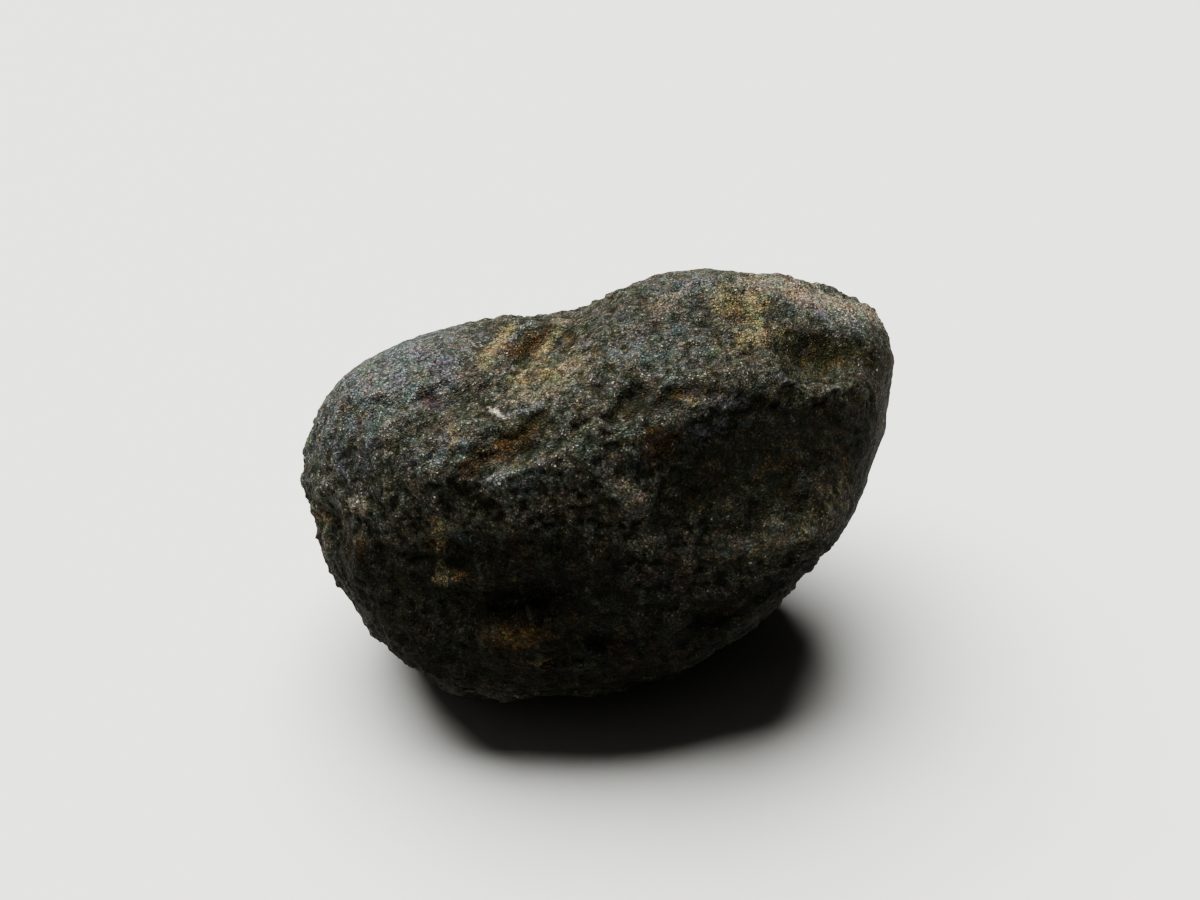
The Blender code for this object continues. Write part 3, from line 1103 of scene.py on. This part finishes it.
@dataclass(frozen=True)
class FloorFinish:
    """Matt pale board, with a faint drift of tone."""

    colour: Colour = (0.52, 0.52, 0.51)
    shade: Colour = (0.50, 0.50, 0.485)
    drift_per_mm: float = 0.02
    seed: float = 2.0
    roughness: float = 0.9

    def material(self) -> bpy.types.Material:
        """Builds the floor's material.

        Returns:
            The material.
        """
        made = bpy.data.materials.new("matt pale board")
        made.use_nodes = True
        graph = Graph(made.node_tree)
        shader = made.node_tree.nodes["Principled BSDF"]
        tone = graph.node("Group", {
            "Place": graph.place_in_mm(), "Base": opaque(self.colour), "Stain": opaque(self.shade),
            "Painted": 0.0, "Blotch": self.drift_per_mm, "Scatter": 1.0, "Seed": self.seed,
        }, node_tree=stain_group())
        graph.put(shader.inputs["Base Color"], tone.outputs["Color"])
        shader.inputs["Roughness"].default_value = self.roughness
        return made


@dataclass(frozen=True)
class Lamp:
    """A soft distant light: the direction it comes from, in degrees, its spread, strength and colour.

    azimuth is measured round Z from the front, so that 180 is behind the stone.
    """

    name: str
    azimuth: float
    elevation: float
    spread: float
    strength: float
    colour: Colour


@dataclass
class Studio:
    """The pale floor, the soft lights and the camera.

    sky_light is how strongly the sky lights the stone, and sky_seen how bright it looks behind it.
    """

    girdle: Girdle = field(default_factory=Girdle)
    floor_side: float = 12.0
    floor_finish: FloorFinish = field(default_factory=FloorFinish)
    lamps: tuple[Lamp, ...] = (
        Lamp("key", 194, 67, 60, 10.5, (1.0, 1.0, 0.98)),
        Lamp("fill", -75, 40, 60, 0.19, (1.0, 0.97, 0.90)),
    )
    sky: Colour = (1.0, 0.98, 0.95)
    sky_light: float = 0.05
    sky_seen: float = 0.95
    look: str = "AgX - High Contrast"
    exposure: float = -0.30
    lens_mm: float = 85.0
    sensor_mm: float = 36.0
    clip_start: float = 0.005
    frame_width_px: int = 1200
    middle_below_px: float = 30.0
    stone_px_per_mm: float = 24.0

    def build(self) -> None:
        """Makes the floor, lights and camera."""
        self.floor()
        for lamp in self.lamps:
            self.light(lamp)
        self.world()
        self.camera()

    def floor(self) -> None:
        """Lays a wide flat floor at the height that the stone rests at."""
        bpy.ops.mesh.primitive_plane_add(size=self.floor_side, location=(0.0, 0.0, 0.0))
        floor = bpy.context.active_object
        floor.name = "floor"
        floor.data.materials.append(self.floor_finish.material())

    def light(self, lamp: Lamp) -> None:
        """Hangs one lamp.

        Args:
            lamp: The lamp's direction and strength.
        """
        turn, lift = math.radians(lamp.azimuth), math.radians(lamp.elevation)
        away = Vector((math.sin(turn) * math.cos(lift), -math.cos(turn) * math.cos(lift), math.sin(lift)))
        bpy.ops.object.light_add(type="SUN", location=self.girdle.middle() + away)
        made = bpy.context.active_object
        made.name = lamp.name
        made.rotation_mode = "QUATERNION"
        made.rotation_quaternion = away.to_track_quat("Z", "Y")
        made.data.angle = math.radians(lamp.spread)
        made.data.energy = lamp.strength
        made.data.color = lamp.colour

    def world(self) -> None:
        """Makes a pale sky that lights the shadows a little, and sets the tone of the picture."""
        world = bpy.data.worlds.new("studio sky")
        world.use_nodes = True
        graph = Graph(world.node_tree)
        background = world.node_tree.nodes["Background"]
        background.inputs["Color"].default_value = opaque(self.sky)
        seen = graph.node("LightPath").outputs["Is Camera Ray"]
        strength = graph.node("MapRange", {"Value": seen, "To Min": self.sky_light, "To Max": self.sky_seen})
        graph.put(background.inputs["Strength"], strength.outputs["Result"])
        scene = bpy.context.scene
        scene.world = world
        scene.view_settings.look = self.look
        scene.view_settings.exposure = self.exposure

    def camera(self) -> None:
        """Places a camera square to the girdle plane, as far off as gives the stone its size in the frame."""
        out, right, rise = self.girdle.out(), self.girdle.right(), self.girdle.rise()
        focal_px = self.lens_mm / self.sensor_mm * self.frame_width_px
        target = self.girdle.middle() + rise * (self.middle_below_px / self.stone_px_per_mm * MM)
        bpy.ops.object.camera_add(location=target + out * (focal_px / self.stone_px_per_mm * MM))
        camera = bpy.context.active_object
        camera.name = "camera"
        camera.rotation_mode = "QUATERNION"
        camera.rotation_quaternion = Matrix((right, rise, out)).transposed().to_quaternion()
        camera.data.lens = self.lens_mm
        camera.data.sensor_width = self.sensor_mm
        camera.data.clip_start = self.clip_start
        bpy.context.scene.camera = camera


def main() -> None:
    """Builds the studio, then the stone, and reports the stone."""
    logging.basicConfig(level=logging.INFO, format="%(name)s: %(message)s")
    studio = Studio()
    studio.build()
    LOG.info("studio: floor, camera and %d lamps", len(studio.lamps))
    stone = Nodule().build()
    faces = stone.data.polygons
    triangles = sum(len(face.vertices) - 2 for face in faces)
    LOG.info("%s: %d faces, %d triangles", stone.name, len(faces), triangles)


if __name__ == "__main__":
    main()
